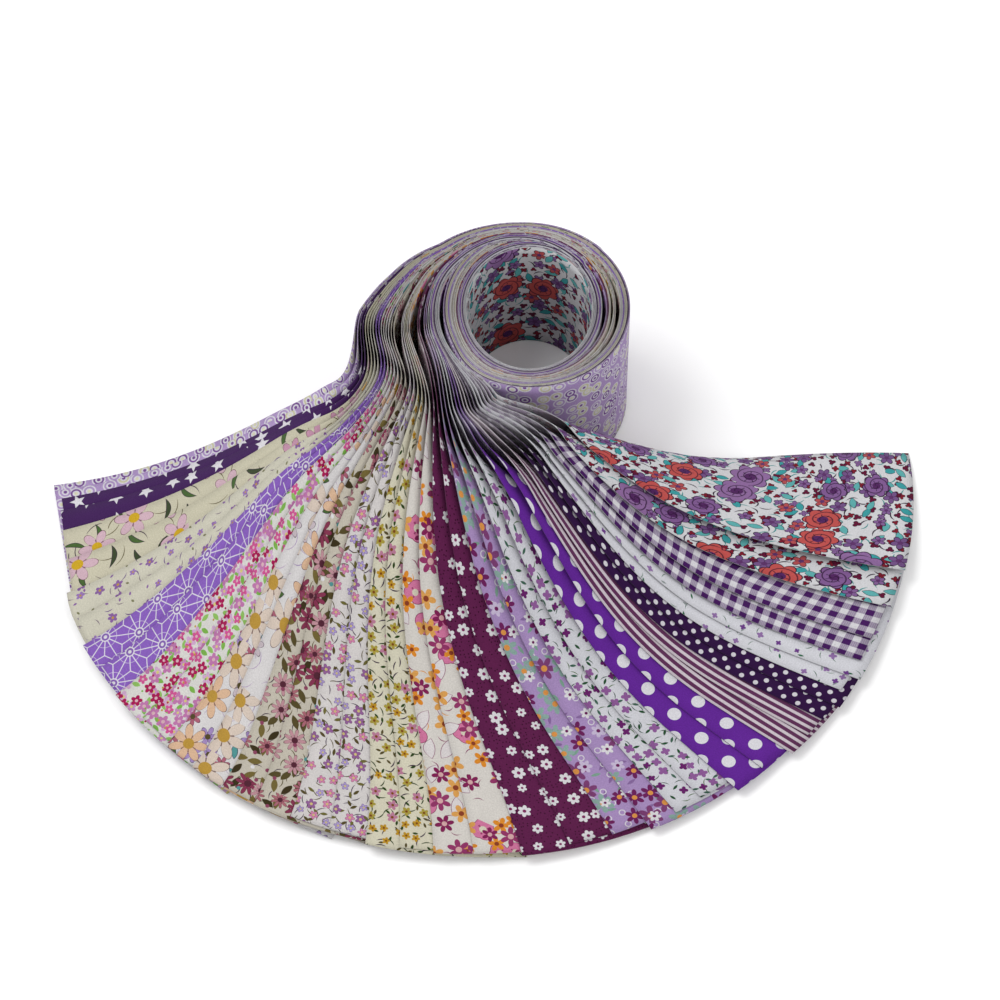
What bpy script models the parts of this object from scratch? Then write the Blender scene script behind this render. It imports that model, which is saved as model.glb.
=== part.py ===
"""Precut cotton strips, rolled on edge, with their loose ends fanned out on the table."""
import math

import bpy
import numpy as np
from mathutils import Vector
from mathutils.bvhtree import BVHTree

# sizes in metres
WIDTH = 0.065
SHEET = 0.0010
CLEAR = 0.00034
PITCH = 0.00135
LIFT = 0.00052
# the whole set is shifted so that its box is centred on the origin
SHIFT_X = 0.005072
SHIFT_Y = 0.038732

# where the strips leave the roll
NECK_X = -0.0560
NECK_STEP = 0.001450
NECK_CLEAR = 0.0009
# centre of the fan's arc and its reach at the sides and at the front
ARC_X = -0.005
REACH_SIDE = 0.181
REACH_FRONT = 0.172

# fabric, fan angle in degrees of the left corner of its two strips, colour
FABRICS = (
    ("lilac_oval", -2.4, -1.2, (0.66, 0.54, 0.76)),
    ("purple_star", 0.0, 2.2, (0.21, 0.10, 0.29)),
    ("cream_lily", 4.6, 10.5, (0.77, 0.73, 0.61)),
    ("cream_sprig", 16.0, 20.0, (0.79, 0.76, 0.66)),
    ("lilac_lattice", 23.5, 28.0, (0.51, 0.34, 0.69)),
    ("magenta_posy", 32.0, 37.5, (0.74, 0.58, 0.62)),
    ("peach_daisy", 42.9, 47.5, (0.75, 0.68, 0.66)),
    ("olive_leaf", 52.4, 57.5, (0.47, 0.38, 0.34)),
    ("lavender_posy", 62.4, 68.4, (0.65, 0.55, 0.60)),
    ("mustard_sprig", 73.6, 78.0, (0.76, 0.71, 0.51)),
    ("orange_paisley", 82.1, 87.5, (0.80, 0.67, 0.57)),
    ("plum_flower", 94.2, 101.0, (0.27, 0.11, 0.21)),
    ("lilac_blossom", 107.6, 112.0, (0.58, 0.47, 0.66)),
    ("plum_berry", 116.2, 120.3, (0.72, 0.69, 0.73)),
    ("purple_dot", 124.4, 130.0, (0.31, 0.15, 0.50)),
    ("plum_stripe", 134.4, 137.6, (0.48, 0.36, 0.47)),
    ("dark_dot", 141.2, 143.6, (0.19, 0.12, 0.22)),
    ("white_bud", 146.0, 148.6, (0.80, 0.79, 0.81)),
    ("purple_gingham", 151.0, 154.4, (0.48, 0.38, 0.53)),
    ("rose_floral", 158.3, 166.0, (0.68, 0.55, 0.60)),
)

# strip number, depth of the neck, straight run out of the neck, straight run at the end,
# turn out of the neck in degrees, length over which the standing wall falls, power of that fall
FLOW = (
    (1, 0.0160, 0.0397, 0.0576, -12.0, 0.0627, 2.01),
    (10, 0.0170, 0.0560, 0.0450, -12.0, 0.1030, 1.40),
    (20, 0.0065, 0.0337, 0.0747, 8.0, 0.0860, 1.40),
    (30, 0.0050, 0.0230, 0.1350, 8.0, 0.0779, 1.56),
    (40, 0.0095, 0.0100, 0.0753, -12.0, 0.0837, 1.77),
)
COUNT = 2 * len(FABRICS)
EASE = 0.00008
BEYOND = 12
BEYOND_STEP = 0.007
FINE = 0.25
ALONG = (0.0, 0.06, 0.13, 0.20, 0.28, 0.36, 0.44, 0.53, 0.63, 0.74, 0.87, 1.0)
ACROSS = (0.0, 0.2, 0.4, 0.6, 0.8, 1.0)

# roll: centre of the hollow, its half width and half depth, radius of the first full turn
ROLL_X = 0.012
ROLL_Y = 0.051
HOLLOW_A = 0.0257
HOLLOW_B = 0.0307
TURN_SIDE = 0.0412
TURN_BACK = 0.0432
TURN_FRONT = 0.0404
# the second, loosening turn: bearing from the centre in degrees, outer radius
LOOSE_TURN = (
    (96, 0.0440), (112, 0.0465), (130, 0.0498), (145, 0.0550), (157, 0.0605),
    (168, 0.0655), (178, 0.0700), (187, 0.0742), (194, 0.0768), (200, 0.0782), (207, 0.0788),
)
# black gaps between the turns: bearing start, end, radius at start, radius at end, width
GAPS = (
    (120, 207, 0.0458, 0.0615, 0.0037),
    (140, 212, 0.0440, 0.0535, 0.0034),
    (-62, 52, 0.0375, 0.0375, 0.0012),
    (-50, 40, 0.0338, 0.0338, 0.0012),
)


def unit(degrees):
    angle = np.radians(degrees)
    return np.stack([np.cos(angle), np.sin(angle)], -1)


def flow(number, column):
    return np.interp(number, [row[0] for row in FLOW], [row[column] for row in FLOW])


def bezier(a, b, c, d, share):
    u = share[:, None, None]
    return (1 - u) ** 3 * a + 3 * (1 - u) ** 2 * u * b + 3 * (1 - u) * u * u * c + u ** 3 * d


def end_angle(number):
    """Fan angle of a strip's end, smoothed over its neighbours."""
    angles = [angle for row in FABRICS for angle in row[1:3]]
    places = np.arange(1, COUNT + 1)
    near = [np.interp(np.clip(number + step, 1, COUNT), places, angles) for step in np.linspace(-1, 1, 9)]
    return np.mean(near, axis=0)


def foot_lines(number, share):
    """Floor line of each strip's lower edge from the neck to the end of the fan."""
    strip = np.clip(number, 1, None)
    angle = end_angle(strip)
    front = np.clip(np.sin(np.radians(angle + 10)), 0, None) ** 1.5
    reach = REACH_SIDE - (REACH_SIDE - REACH_FRONT) * front
    half = np.degrees(np.arcsin(WIDTH / 2 / reach))
    heading = unit(-180 + angle + half)
    centre = np.array([ARC_X, 0.0])
    end = centre + reach[:, None] * unit(-180 + angle + 2 * half)
    start = np.stack([NECK_X + (strip - 1) * NECK_STEP, flow(strip, 1)], -1)
    leave = start + flow(strip, 2)[:, None] * unit(-90 + flow(strip, 4))
    arrive = end - flow(strip, 3)[:, None] * heading
    lines = bezier(start, leave, arrive, end, share)
    # left of the first strip the cuts across the fan run on toward its outer edge
    corner = centre + reach[:1, None] * unit(-180 + angle[:1])
    edge = start[:1] + np.array([-0.012, 0.0])
    outer = bezier(edge, edge + np.array([0, -0.003]), corner - 0.060 * heading[:1], corner, share)
    side = outer - lines[:, :1]
    side = side / np.linalg.norm(side, axis=-1, keepdims=True)
    return lines + np.clip(1 - number, 0, None)[None, :, None] * BEYOND_STEP * side


def running_sum(values, step):
    middle = (values[:, 1:] + values[:, :-1]) / 2 * step
    return np.concatenate([np.zeros((len(values), 1)), np.cumsum(middle, axis=1)], 1)


def fan(share):
    """Heights and distances that stack each strip one pitch above the one before it."""
    number = np.arange(1 - BEYOND, COUNT + 0.01, FINE)
    foot = foot_lines(number, share)
    heading = np.gradient(foot, share, axis=0)
    heading = heading / np.maximum(np.linalg.norm(heading, axis=-1, keepdims=True), 1e-9)
    change = np.gradient(foot, number, axis=1)
    spread = np.linalg.norm(change, axis=-1)
    beside = np.abs(change[..., 0] * heading[..., 1] - change[..., 1] * heading[..., 0])
    step = np.linalg.norm(np.diff(foot, axis=0), axis=-1)
    travel = np.concatenate([np.zeros((1, len(number))), np.cumsum(step, axis=0)], 0)
    strip = np.clip(number, 1, None)
    wall = WIDTH * np.exp(-(travel / flow(strip, 5)) ** flow(strip, 6))
    run = np.maximum(np.gradient(travel, axis=0), 1e-6)
    slope = np.gradient(wall, axis=0) / run
    lean = np.clip(PITCH / np.maximum(beside, 1e-6), 0, 0.94)
    fall = np.clip(-np.gradient(wall, number, axis=1), 0, None)
    rise = PITCH / np.sqrt(1 - lean * lean) * np.sqrt(1 + 0.6 * slope ** 2) + fall
    rise = rise / (1 + np.exp(-(number - 1.0) / 0.35))[None, :]
    stack = running_sum(rise, FINE)
    climb = np.gradient(stack, axis=0) / run
    tilt = np.clip(np.abs(slope) + np.abs(climb), 0, 1.6)
    rise = rise * np.sqrt(1 + 0.7 * tilt ** 2) / np.sqrt(1 + 0.6 * slope ** 2)
    return {"number": number, "foot": foot, "stack": running_sum(rise, FINE),
            "side": running_sum(spread, FINE), "travel": travel, "wall": wall}


def strip_points(data, number, across):
    """Middle surface of one strip: rows along its length, columns from its foot to its top edge."""
    places = data["number"]
    fine = np.concatenate([np.linspace(number, number - 3, 90)[:-1],
                           np.linspace(number - 3, places[0], 120)])
    here = int(round((number - places[0]) / FINE))
    rows = len(data["foot"])
    points = np.zeros((rows, len(across), 3))
    for row in range(rows):
        side = np.interp(fine, places, data["side"][row])
        stack = np.interp(fine, places, data["stack"][row])
        x = np.interp(fine, places, data["foot"][row, :, 0])
        y = np.interp(fine, places, data["foot"][row, :, 1])
        out = side[0] - side
        bend = 0.0015 + 0.0065 * (1 - math.exp(-data["travel"][row, here] / 0.03))
        z = data["wall"][row, here] * (1 - np.exp(-out / bend)) + stack[0] - stack
        length = np.concatenate([[0], np.cumsum(np.hypot(np.diff(out), np.diff(z)))])
        at = np.array(across) * WIDTH
        points[row, :, 0] = np.interp(at, length, x)
        points[row, :, 1] = np.interp(at, length, y)
        points[row, :, 2] = np.interp(at, length, z) + LIFT
    return points


def grid_faces(rows, columns):
    faces = []
    for i in range(rows - 1):
        for j in range(columns - 1):
            a = i * columns + j
            faces.append((a, a + 1, a + columns + 1, a + columns))
    return faces


def split(faces):
    """Two triangles for each four-sided face, so that the built sheet has these very faces."""
    return [three for a, b, c, d in faces for three in ((a, b, c), (a, c, d))]


def keep_larger(move, index, push):
    if push.length > np.linalg.norm(move[index]):
        move[index] = push


def corner_normals(points, threes):
    """Unit normal at each corner of a triangulated sheet."""
    normals = np.zeros_like(points)
    for a, b, c in threes:
        face = np.cross(points[b] - points[a], points[c] - points[a])
        for corner in (a, b, c):
            normals[corner] += face
    return normals / np.linalg.norm(normals, axis=1, keepdims=True)


def push_off(below, above, threes, gap):
    """Move a strip off the strip beneath until its corners and its edges keep the gap."""
    under = [Vector(p) for p in below.reshape(-1, 3)]
    tree = BVHTree.FromPolygons(under, threes)
    points = above.reshape(-1, 3)
    for turn in range(40):
        move = np.zeros_like(points)
        over = [Vector(p) for p in points]
        for index, point in enumerate(over):
            near, normal, face, distance = tree.find_nearest(point)
            if normal.dot(point - near) < 0 and distance < 0.004:
                keep_larger(move, index, near + normal * gap - point)
            elif distance < gap:
                keep_larger(move, index, (point - near).normalized() * (gap - distance))
        cover = BVHTree.FromPolygons(over, threes)
        for point in under:
            near, normal, face, distance = cover.find_nearest(point)
            wrong = normal.dot(near - point) < 0
            if distance < gap or (wrong and distance < 0.004):
                push = normal * (gap + distance if wrong else gap - distance)
                for index in threes[face]:
                    keep_larger(move, index, push)
        # set down by the gap, the sheet still must not cut into the one beneath
        normals = corner_normals(points, threes)
        lowered = BVHTree.FromPolygons([Vector(p) for p in points - normals * gap * 0.95], threes)
        for face, other in lowered.overlap(tree):
            for index in threes[face]:
                keep_larger(move, index, Vector(normals[index]) * EASE)
        points = points + move
        points[:, 2] = np.maximum(points[:, 2], LIFT)
        if np.abs(move).max() < 1e-5:
            break
    return points.reshape(above.shape)


def roll_radius(bearing):
    """Outer radius of the first full turn at a bearing in degrees."""
    up = math.sin(math.radians(bearing))
    return TURN_SIDE + (TURN_BACK - TURN_SIDE) * max(up, 0) ** 2 + (TURN_FRONT - TURN_SIDE) * max(-up, 0) ** 2


def polar(bearing, radius):
    angle = math.radians(float(bearing))
    return (ROLL_X + radius * math.cos(angle), ROLL_Y + radius * math.sin(angle))


def roll_outline():
    """Outline of the roll seen from above, counter-clockwise from its right side."""
    points = [polar(bearing, roll_radius(bearing)) for bearing in range(-90, 90, 9)]
    bearings = [row[0] for row in LOOSE_TURN]
    radii = [row[1] for row in LOOSE_TURN]
    for bearing in np.linspace(90, 203, 14):
        points.append(polar(bearing, np.interp(bearing, [85] + bearings, [roll_radius(85)] + radii)))
    points.append((NECK_X - 0.0012, float(flow(1, 1)) + 0.0022))
    for number in range(2, COUNT + 1, 2):
        points.append((NECK_X + (number - 1) * NECK_STEP, float(flow(number, 1)) + NECK_CLEAR))
    return points


def ellipse(half_x, half_y, count):
    turn = 2 * math.pi / count
    return [(ROLL_X + half_x * math.cos(i * turn), ROLL_Y + half_y * math.sin(i * turn)) for i in range(count)]


def gap_outline(start, end, first, last, width):
    """A sickle-shaped gap between two turns, closing to a point at both ends."""
    count = max(6, int(abs(end - start) / 11))
    shares = [i / count for i in range(count + 1)]
    outside = []
    inside = []
    for share in shares:
        half = width / 2 * math.sin(math.pi * share) ** 0.6 + 0.0001
        radius = first + (last - first) * share ** 2
        bearing = start + (end - start) * share
        outside.append(polar(bearing, radius + half))
        inside.append(polar(bearing, radius - half))
    return outside + inside[::-1]


def flat_outline(name, loops, height):
    """An extruded outline standing on the table; loops after the first one are holes."""
    curve = bpy.data.curves.new(name, "CURVE")
    curve.dimensions = "2D"
    curve.fill_mode = "BOTH"
    curve.extrude = height / 2
    for loop in loops:
        spline = curve.splines.new("POLY")
        spline.points.add(len(loop) - 1)
        for point, (x, y) in zip(spline.points, loop):
            point.co = (x, y, 0, 1)
        spline.use_cyclic_u = True
    piece = bpy.data.objects.new(name, curve)
    piece.location = (SHIFT_X, SHIFT_Y, height / 2)
    return piece


def material(name, colour):
    made = bpy.data.materials.new(name)
    made.use_nodes = True
    shader = made.node_tree.nodes["Principled BSDF"]
    shader.inputs["Base Color"].default_value = (*colour, 1)
    shader.inputs["Roughness"].default_value = 0.9
    return made


def main():
    for old in list(bpy.data.objects):
        bpy.data.objects.remove(old, do_unlink=True)
    group = bpy.data.collections.new("fabric_strip_roll")
    bpy.context.scene.collection.children.link(group)

    loops = [roll_outline(), ellipse(HOLLOW_A, HOLLOW_B, 32)]
    loops += [gap_outline(*row) for row in GAPS]
    roll = flat_outline("roll", loops, WIDTH)
    roll.data.materials.append(material("roll_edges", (0.55, 0.46, 0.58)))
    group.objects.link(roll)

    share = np.array(ALONG)
    dense = np.unique(np.concatenate([share, np.linspace(0, 1, 61)]))
    data = fan(dense)
    rows = [int(np.argmin(np.abs(dense - at))) for at in ALONG]
    threes = split(grid_faces(len(ALONG), len(ACROSS)))
    below = None
    for number in range(1, COUNT + 1):
        points = strip_points(data, number, ACROSS)[rows]
        if below is not None:
            points = push_off(below, points, threes, SHEET + CLEAR)
        below = points
        fabric, first, second, colour = FABRICS[(number - 1) // 2]
        name = fabric + ("_a" if number % 2 else "_b")
        mesh = bpy.data.meshes.new(name)
        shifted = points.reshape(-1, 3) + np.array([SHIFT_X, SHIFT_Y, 0.0])
        mesh.from_pydata([tuple(p) for p in shifted], [], threes)
        piece = bpy.data.objects.new(name, mesh)
        piece.data.materials.append(material(name + "_cotton", colour))
        shell = piece.modifiers.new("thickness", "SOLIDIFY")
        shell.thickness = SHEET
        shell.offset = 0
        group.objects.link(piece)


main()
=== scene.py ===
"""Cotton strips wound into a roll on edge, with their loose ends fanned over a white table."""

import math

import bpy
import numpy as np
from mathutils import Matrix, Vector


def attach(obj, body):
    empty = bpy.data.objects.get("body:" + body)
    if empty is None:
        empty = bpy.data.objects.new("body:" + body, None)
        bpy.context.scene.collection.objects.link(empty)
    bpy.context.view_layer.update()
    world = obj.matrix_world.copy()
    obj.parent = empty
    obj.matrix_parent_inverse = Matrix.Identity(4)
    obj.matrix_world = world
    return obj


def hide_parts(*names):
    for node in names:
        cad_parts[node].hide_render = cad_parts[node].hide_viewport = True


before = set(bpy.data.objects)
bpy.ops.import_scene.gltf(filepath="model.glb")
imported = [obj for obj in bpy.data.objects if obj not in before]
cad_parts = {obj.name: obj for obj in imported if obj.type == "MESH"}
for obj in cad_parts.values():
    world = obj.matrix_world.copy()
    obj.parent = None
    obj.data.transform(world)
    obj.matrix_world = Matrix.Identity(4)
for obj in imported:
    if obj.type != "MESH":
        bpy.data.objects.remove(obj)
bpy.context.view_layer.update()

# a strip's flat size and thickness, in metres as all lengths here except in the prints
WIDTH = 0.065
LENGTH = 0.500
CLOTH = 0.00022
# room that each strip takes in the stack, the lift of the lower edges off the table, and the
# least height of the wound part
PITCH = 0.00135
LIFT = 0.0004
FLOOR_GAP = 0.0002
# the whole set is shifted so that the solids' box is centred on the origin
SHIFT_X = 0.005072
SHIFT_Y = 0.038732
# the neck's line, the fan's reach, the first strip's outer edge, the bend at a standing foot,
# the roll's middle and the half sizes of its hollow
NECK_X = -0.0560
NECK_STEP = 0.001450
ARC_X = -0.005
REACH_SIDE = 0.181
REACH_FRONT = 0.172
EDGE_OUT = np.array([-0.012, 0.0])
EDGE_LEAVE = np.array([0, -0.003])
EDGE_RUN = 0.060
BEND_NECK = 0.0015
BEND_MORE = 0.0065
BEND_RUN = 0.03
ROLL_X = 0.012
ROLL_Y = 0.051
HOLLOW_A = 0.0257
HOLLOW_B = 0.0307
# stacking: most lean, room for slope and for tilt, most tilt, and how softly the stack begins
MOST_LEAN = 0.94
SLOPE_ROOM = 0.6
TILT_ROOM = 0.7
MOST_TILT = 1.6
STACK_SOFT = 0.35

# fabric, and where the ends of its two strips begin in the fan, in degrees from the left
FABRICS = (
    ("lilac_oval", -2.4, -1.2), ("purple_star", 0.0, 2.2), ("cream_lily", 4.6, 10.5),
    ("cream_sprig", 16.0, 20.0), ("lilac_lattice", 23.5, 28.0), ("magenta_posy", 32.0, 37.5),
    ("peach_daisy", 42.9, 47.5), ("olive_leaf", 52.4, 57.5), ("lavender_posy", 62.4, 68.4),
    ("mustard_sprig", 73.6, 78.0), ("orange_paisley", 82.1, 87.5), ("plum_flower", 94.2, 101.0),
    ("lilac_blossom", 107.6, 112.0), ("plum_berry", 116.2, 120.3), ("purple_dot", 124.4, 130.0),
    ("plum_stripe", 134.4, 137.6), ("dark_dot", 141.2, 143.6), ("white_bud", 146.0, 148.6),
    ("purple_gingham", 151.0, 154.4), ("rose_floral", 158.3, 166.0),
)
# strip number, depth of the neck, straight run out of the neck, straight run at the end,
# turn out of the neck in degrees, length over which the standing wall falls, power of that fall
FLOW = (
    (1, 0.0160, 0.0397, 0.0576, -12.0, 0.0627, 2.01),
    (10, 0.0170, 0.0560, 0.0450, -12.0, 0.1030, 1.40),
    (20, 0.0065, 0.0337, 0.0747, 8.0, 0.0860, 1.40),
    (30, 0.0050, 0.0230, 0.1350, 8.0, 0.0779, 1.56),
    (40, 0.0095, 0.0100, 0.0753, -12.0, 0.0837, 1.77),
)
COUNT = 2 * len(FABRICS)
# extra places beyond the first strip, their distance, and the step of the fan in strips
BEYOND = 12
BEYOND_STEP = 0.007
FINE = 0.25
# rows of a loose end, columns across a strip and the length of a row in the roll
ROWS_FAN = 64
COLUMNS = 13
ROLL_STEP = 0.0026
# share of its height that a loose end loses at its tip, and the share of its run where that begins
FLATTEN = 0.5
FLAT_FROM = 0.35
# how far the uppermost strips lean up the roll and swing back: strip, rise of top edge, swing at end
UPPERMOST = (
    (36, 0.0, 0.0), (37, 0.003, 0.0), (38, 0.006, 0.0015), (39, 0.012, 0.0040), (40, 0.023, 0.0085),
)
# share of that rise along a loose end, and the height above which there is none
RISE_AT = (0, 0.12, 0.24, 0.36, 0.6, 1)
RISE_SHARE = (0, 0.05, 0.85, 1, 0.45, 0.12)
RISE_BELOW = 0.050
# cut ends: shares of a loose end's run taken off evenly and at its lower corner
CUT_SHORT = (0.0, 0.018)
CUT_SLANT = (0.008, 0.022)
# rows each side of the neck that are rounded, and how often
SOFT_ROWS = 13
SOFT_PASSES = 16
# run over which the wound part takes on its loose end's lean, and how unevenly its edges stand
TWIST_RUN = 0.028
UNEVEN = 0.0004
# brightness and depth of the printed colours, and the fabric whose print also shows outward
FADE = 0.68
CONTRAST = 1.28
OUTERMOST = "lilac_oval"
# a full turn as the prints use it, and how far the grid prints are moved, in millimetres
FULL_TURN = 6.283
GRID_MOVE = (500.0, 500.0, 0.0)
LATTICE_MOVE = 700.0
# camera: height over the table in degrees, distance, focal length in millimetres
EYE_UP = 56
EYE_AWAY = 1.8
LENS = 156.5

# outer radius of the roll by bearing in degrees; past 360 it is the second, loosening turn
OUTER = (
    (-90, 0.0402), (-60, 0.0404), (-30, 0.0409), (0, 0.0412), (30, 0.0418), (60, 0.0425), (85, 0.0432),
    (96, 0.0436), (111, 0.0450), (124, 0.0468), (139, 0.0492), (153, 0.0552), (164, 0.0598),
    (175, 0.0660), (183, 0.0713), (190, 0.0750), (196, 0.0770), (204, 0.0778),
)
# radius of each group of strips in the loosening turn where its gaps are widest, bearing 197
LOOSE = (
    (1, 0.0758), (4, 0.0722), (8, 0.0672), (12, 0.0618), (16, 0.0570), (17, 0.0536), (22, 0.0503),
    (23, 0.0466), (24, 0.0459), (25, 0.0438), (28, 0.0412), (40, 0.0372),
)
# thickness of the close first turn, and the bearings between which the strips begin
FIRST_TURN = 0.0095
START_FIRST = 45.0
START_LAST = 170.0
# gaps in the right side of the ring: the place between two strip numbers and the width; then the
# bearings that they span and the one where they are widest
RING_GAPS = ((26.5, 0.0016), (19.5, 0.0008), (15.5, 0.0015))
RIGHT_FROM = 280
RIGHT_TO = 430
RIGHT_MIDDLE = 355
# bearings: end of the close first turn and the run over which it opens, the place from which its
# outer edge keeps the first value of OUTER, the widest place of the loosening turn, where its
# groups begin to part and the run over which they do; last the gap between the turns, in metres
CLOSED_TO = 204
OPEN_RUN = 46
START_OUTER = 200
LOOSE_AT = 197
MIX_FROM = 100
MIX_RUN = 90
TURN_GAP = 0.0004
# plan line of a strip: bearing before the neck where it leaves the roll, bearing it is drawn from,
# step between bearings, share of the neck's length used as tangents, rows in the neck
LEAVE_BEFORE = 27
PATH_FROM = -60
BEARING_STEP = 2.0
NECK_PULL = 0.38
NECK_ROWS = 16


def unit(degrees):
    angle = np.radians(degrees)
    return np.stack([np.cos(angle), np.sin(angle)], -1)


def flow(number, column):
    return np.interp(number, [row[0] for row in FLOW], [row[column] for row in FLOW])


def table(rows, at):
    return float(np.interp(at, [row[0] for row in rows], [row[1] for row in rows]))


def smooth(value):
    value = min(max(value, 0.0), 1.0)
    return value * value * (3 - 2 * value)


def bezier(a, b, c, d, share):
    u = share[:, None, None]
    return (1 - u) ** 3 * a + 3 * (1 - u) ** 2 * u * b + 3 * (1 - u) * u * u * c + u ** 3 * d


def end_angle(number):
    angles = [angle for row in FABRICS for angle in row[1:3]]
    places = np.arange(1, COUNT + 1)
    near = [np.interp(np.clip(number + step, 1, COUNT), places, angles) for step in np.linspace(-1, 1, 9)]
    return np.mean(near, axis=0)


def foot_lines(number, share):
    """Floor line of each strip's lower edge from the neck to the end of the fan."""
    strip = np.clip(number, 1, None)
    angle = end_angle(strip)
    front = np.clip(np.sin(np.radians(angle + 10)), 0, None) ** 1.5
    reach = REACH_SIDE - (REACH_SIDE - REACH_FRONT) * front
    half = np.degrees(np.arcsin(WIDTH / 2 / reach))
    heading = unit(-180 + angle + half)
    centre = np.array([ARC_X, 0.0])
    end = centre + reach[:, None] * unit(-180 + angle + 2 * half)
    start = np.stack([NECK_X + (strip - 1) * NECK_STEP, flow(strip, 1)], -1)
    leave = start + flow(strip, 2)[:, None] * unit(-90 + flow(strip, 4))
    arrive = end - flow(strip, 3)[:, None] * heading
    lines = bezier(start, leave, arrive, end, share)
    corner = centre + reach[:1, None] * unit(-180 + angle[:1])
    edge = start[:1] + EDGE_OUT
    outer = bezier(edge, edge + EDGE_LEAVE, corner - EDGE_RUN * heading[:1], corner, share)
    side = outer - lines[:, :1]
    side = side / np.linalg.norm(side, axis=-1, keepdims=True)
    return lines + np.clip(1 - number, 0, None)[None, :, None] * BEYOND_STEP * side


def running_sum(values, step):
    middle = (values[:, 1:] + values[:, :-1]) / 2 * step
    return np.concatenate([np.zeros((len(values), 1)), np.cumsum(middle, axis=1)], 1)


def fan(share):
    """Heights and distances that stack each strip one pitch above the one before it."""
    number = np.arange(1 - BEYOND, COUNT + 0.01, FINE)
    foot = foot_lines(number, share)
    heading = np.gradient(foot, share, axis=0)
    heading = heading / np.maximum(np.linalg.norm(heading, axis=-1, keepdims=True), 1e-9)
    change = np.gradient(foot, number, axis=1)
    spread = np.linalg.norm(change, axis=-1)
    beside = np.abs(change[..., 0] * heading[..., 1] - change[..., 1] * heading[..., 0])
    step = np.linalg.norm(np.diff(foot, axis=0), axis=-1)
    travel = np.concatenate([np.zeros((1, len(number))), np.cumsum(step, axis=0)], 0)
    strip = np.clip(number, 1, None)
    wall = WIDTH * np.exp(-(travel / flow(strip, 5)) ** flow(strip, 6))
    run = np.maximum(np.gradient(travel, axis=0), 1e-6)
    slope = np.gradient(wall, axis=0) / run
    lean = np.clip(PITCH / np.maximum(beside, 1e-6), 0, MOST_LEAN)
    fall = np.clip(-np.gradient(wall, number, axis=1), 0, None)
    rise = PITCH / np.sqrt(1 - lean * lean) * np.sqrt(1 + SLOPE_ROOM * slope ** 2) + fall
    rise = rise / (1 + np.exp(-(number - 1.0) / STACK_SOFT))[None, :]
    stack = running_sum(rise, FINE)
    climb = np.gradient(stack, axis=0) / run
    tilt = np.clip(np.abs(slope) + np.abs(climb), 0, MOST_TILT)
    rise = rise * np.sqrt(1 + TILT_ROOM * tilt ** 2) / np.sqrt(1 + SLOPE_ROOM * slope ** 2)
    return {"number": number, "foot": foot, "stack": running_sum(rise, FINE),
            "side": running_sum(spread, FINE), "travel": travel, "wall": wall}


def fan_points(data, number, across):
    """Middle surface of one loose end: rows along it, columns from its foot to its top edge."""
    places = data["number"]
    fine = np.concatenate([np.linspace(number, number - 3, 90)[:-1],
                           np.linspace(number - 3, places[0], 120)])
    here = int(round((number - places[0]) / FINE))
    rows = len(data["foot"])
    points = np.zeros((rows, len(across), 3))
    for row in range(rows):
        side = np.interp(fine, places, data["side"][row])
        stack = np.interp(fine, places, data["stack"][row])
        x = np.interp(fine, places, data["foot"][row, :, 0])
        y = np.interp(fine, places, data["foot"][row, :, 1])
        out = side[0] - side
        bend = BEND_NECK + BEND_MORE * (1 - math.exp(-data["travel"][row, here] / BEND_RUN))
        z = data["wall"][row, here] * (1 - np.exp(-out / bend)) + stack[0] - stack
        length = np.concatenate([[0], np.cumsum(np.hypot(np.diff(out), np.diff(z)))])
        at = across * WIDTH
        points[row, :, 0] = np.interp(at, length, x)
        points[row, :, 1] = np.interp(at, length, y)
        points[row, :, 2] = np.interp(at, length, z) + LIFT
    return points


def settle(points, share, number, random):
    """Flattens the outer ends, cuts each a little uneven and leans the uppermost on the roll."""
    lower = 1 - FLATTEN * np.array([smooth((q - FLAT_FROM) / (1 - FLAT_FROM)) for q in share])
    points[..., 2] = LIFT + (points[..., 2] - LIFT) * lower[:, None]
    across = np.linspace(0, 1, points.shape[1])
    strips_moved, rises, swings = zip(*UPPERMOST)
    rise = np.interp(number, strips_moved, rises)
    swing = np.interp(number, strips_moved, swings)
    lean = np.interp(share, RISE_AT, RISE_SHARE)
    fallen = np.clip(1 - points[..., 2] / RISE_BELOW, 0, 1)
    points[..., 2] += rise * lean[:, None] * across ** 1.5 * fallen
    points[..., 1] += swing * share[:, None]
    short = random.uniform(*CUT_SHORT)
    slant = random.uniform(*CUT_SLANT)
    cut = points.copy()
    for j, place in enumerate(across):
        at = share * (1 - short - slant * (1 - place))
        for k in range(3):
            cut[:, j, k] = np.interp(at, share, points[:, j, k])
    return cut


def soften(points, middle):
    """Rounds the bend where the wound part turns into the loose end."""
    rows = np.arange(len(points))
    weight = np.clip(1 - (np.abs(rows - middle) / SOFT_ROWS) ** 2, 0, 1)[:, None, None]
    for _ in range(SOFT_PASSES):
        mean = points.copy()
        mean[1:-1] = (points[:-2] + 2 * points[1:-1] + points[2:]) / 4
        points = points + weight * (mean - points)
    return points


def hollow(bearing):
    angle = math.radians(bearing)
    return 1 / math.hypot(math.cos(angle) / HOLLOW_A, math.sin(angle) / HOLLOW_B)


def first_layer(bearing):
    """Thickness of the first turn as it builds up between the bearings where the strips begin."""
    return FIRST_TURN * smooth((bearing - START_FIRST) / (START_LAST - START_FIRST))


def ring_place(bearing, number, share, thick):
    """Place of one strip in the ring's thickness, with the gaps in the ring's right side."""
    in_gaps = RIGHT_FROM < bearing < RIGHT_TO
    right = math.cos(math.radians(bearing - RIGHT_MIDDLE)) ** 2 if in_gaps else 0
    room = sum(width for strip, width in RING_GAPS) * right
    place = share * (thick - room)
    for strip, width in RING_GAPS:
        if number < strip:
            place += width * right
    return place


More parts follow.
